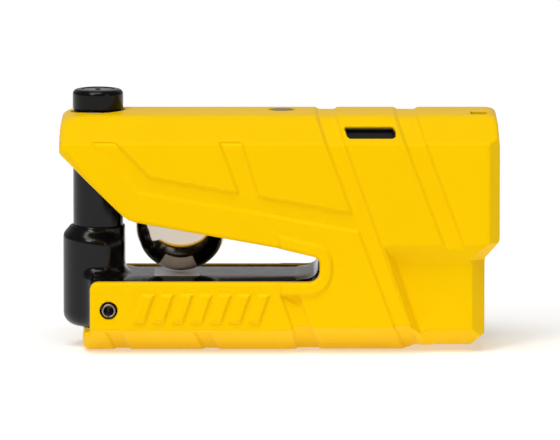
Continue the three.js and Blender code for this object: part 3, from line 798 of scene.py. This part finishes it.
STEP = 0.5
place(net("housing_shell", main_housing, *around("main_housing"), STEP), "lock_body", "yellow_housing",
      paint, "main_housing")
place(net("rear_shell", rear_cover, *around("rear_cover"), STEP), "lock_body", "yellow_housing", paint,
      "rear_cover")
place(net("steel_jaw", steel_jaw, *around("steel_body", 1.6), 0.8 * STEP, 0.4), "lock_body",
      "black_steel", steel, "steel_body")
place(net("pin", roll_pin, *around("roll_pin", 0.5), 0.3), "lock_body", "zinc_steel", pin_steel, "roll_pin")
place(net("bolt", locking_bolt, *around("locking_bolt", 0.8), 0.4), "bolt", "black_steel", steel,
      "locking_bolt")
place(net("door", battery_cover, *around("battery_cover", 0.8), 0.3), "cover", "yellow_housing", paint,
      "battery_cover")

for i in range(6):
    node = f"housing_screw_{i + 1}"
    low, high = box_mm(node)

    def housing_screw(x, y, z, centre=axis_along_y(node), head=high[1], tip=low[1]):
        return screw(x, y, z, centre, head, tip, SCREW_RADII)

    place(net(f"screw_{i + 1}", housing_screw, *around(node, 0.6), 0.3), "lock_body", "zinc_steel", zinc,
          node)

low, high = box_mm("cover_screw")


def door_screw(x, y, z):
    return screw(x, y, z, axis_along_y("cover_screw"), high[1], low[1], DOOR_SCREW_RADII)


place(net("door_screw", door_screw, *around("cover_screw", 0.6), 0.25), "cover_screw", "zinc_steel", zinc,
      "cover_screw")

place(turned("ball", arc((0, BALL_Z), BALL_RADIUS, -90, 90, 80), BALL_X, 0, 160), "ball", "polished_ball",
      mirror, "clamp_ball")

spring_low, spring_high = box_mm("ball_spring")
coil = coil_spring("ball_coil", BALL_X, spring_low[2], spring_high[2], 7.5, 0.7, 5)
place(coil, "lock_body", "spring_steel", spring, "ball_spring")
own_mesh(coil)

cap_radius = (CAP_HIGH[0] - CAP_LOW[0]) / 2
cap_base = CAP_LOW[2] - SKIRT
cap_profile = [(7.6, 79.7), (7.6, cap_base)]
cap_profile += arc((cap_radius - 0.3, cap_base + 0.3), 0.3, -90, 0, 5)
cap_profile += arc((cap_radius - 1.6, CAP_HIGH[2] - 1.75), 1.6, 0, 84, 14)
cap_profile += arc((5.5, CAP_HIGH[2] - 0.3), 0.3, 90, 180, 5)
cap_profile += [(5.2, 79.7), (7.6, 79.7)]
place(turned("cap", cap_profile, BOLT_X, 0), "bolt", "cap_plastic", moulded, "bolt_cap")

# A black liner in the siren's slot: painted shade standing in for the shadow on the slot's walls.
place(net("slot_shade_liner", slot_shade_liner, (19, -26, 66), (38, -13, 77), 0.3, 0.5), "lock_body",
      "black_plastic", plastic)

(left, front), (right, rear) = LABEL_LOW, LABEL_HIGH
label = rounded([(left, front, 0.8), (right, front, 0.8), (right, rear, 0.8), (left, rear, 0.8)])
place(sheet("label", label, STEEL_TOP_OF_ARM + 0.01, STEEL_TOP_OF_ARM + 0.07), "lock_body",
      "cap_plastic", paper)


# ---------------------------------------------------------------- studio

CAMERA_ELEVATION = math.radians(7)
CAMERA_DISTANCE = 3.0
VIEW_WIDTH = 1.28 * 2 * HALF_LENGTH * MM
TARGET = Vector((0.00016, 0, 0.0403))

camera_data = bpy.data.cameras.new("camera")
camera = linked("camera", camera_data)
camera_data.lens = camera_data.sensor_width * CAMERA_DISTANCE / VIEW_WIDTH
camera_data.clip_end = 100
back = Vector((0, -math.cos(CAMERA_ELEVATION), math.sin(CAMERA_ELEVATION)))
camera.location = TARGET + back * CAMERA_DISTANCE
camera.rotation_euler = (math.pi / 2 - CAMERA_ELEVATION, 0, 0)
bpy.context.scene.camera = camera


def softbox(name, place_at, size, power):
    data = bpy.data.lights.new(name, "AREA")
    data.shape = "RECTANGLE"
    data.size, data.size_y = size
    data.energy = power
    light = linked(name, data)
    light.location = place_at
    light.rotation_euler = (TARGET - Vector(place_at)).to_track_quat("-Z", "Y").to_euler()


softbox("key", (-1.5, -2.7, 2.4), (1.0, 1.0), 34)
softbox("fill", (2.4, -2.6, 1.2), (1.0, 1.8), 9)

top_data = bpy.data.lights.new("top", "SUN")
top_data.energy = 2.0
top_data.angle = math.radians(40)
top_light = linked("top", top_data)
top_light.rotation_euler = (math.radians(21), math.radians(-8), 0)

world = bpy.data.worlds.new("studio")
bpy.context.scene.world = world
world.use_nodes = True
sky = world.node_tree
towards = sky.nodes.new("ShaderNodeTexCoord")
split = sky.nodes.new("ShaderNodeSeparateXYZ")
fade = sky.nodes.new("ShaderNodeMapRange")
sky.links.new(towards.outputs["Generated"], split.inputs["Vector"])
sky.links.new(split.outputs["Y"], fade.inputs["Value"])
for socket, value in (("From Min", 0.3), ("From Max", 0.95), ("To Min", 0.14), ("To Max", 0.42)):
    fade.inputs[socket].default_value = value
sky.nodes["Background"].inputs["Color"].default_value = (1, 1, 1, 1)
sky.links.new(fade.outputs["Result"], sky.nodes["Background"].inputs["Strength"])

floor_mesh = bpy.data.meshes.new("floor")
floor_mesh.from_pydata([(-30, -30, 0), (30, -30, 0), (30, 30, 0), (-30, 30, 0)], [], [(0, 1, 2, 3)])
floor = linked("floor", floor_mesh)
pale = Surface("pale_floor", (0.76, 0.76, 0.76), 0.8, emission_color=(1, 1, 1, 1), emission_strength=0.37,
               specular_ior_level=0.2)
floor_mesh.materials.append(pale.material)
bpy.context.scene.view_settings.view_transform = "Standard"
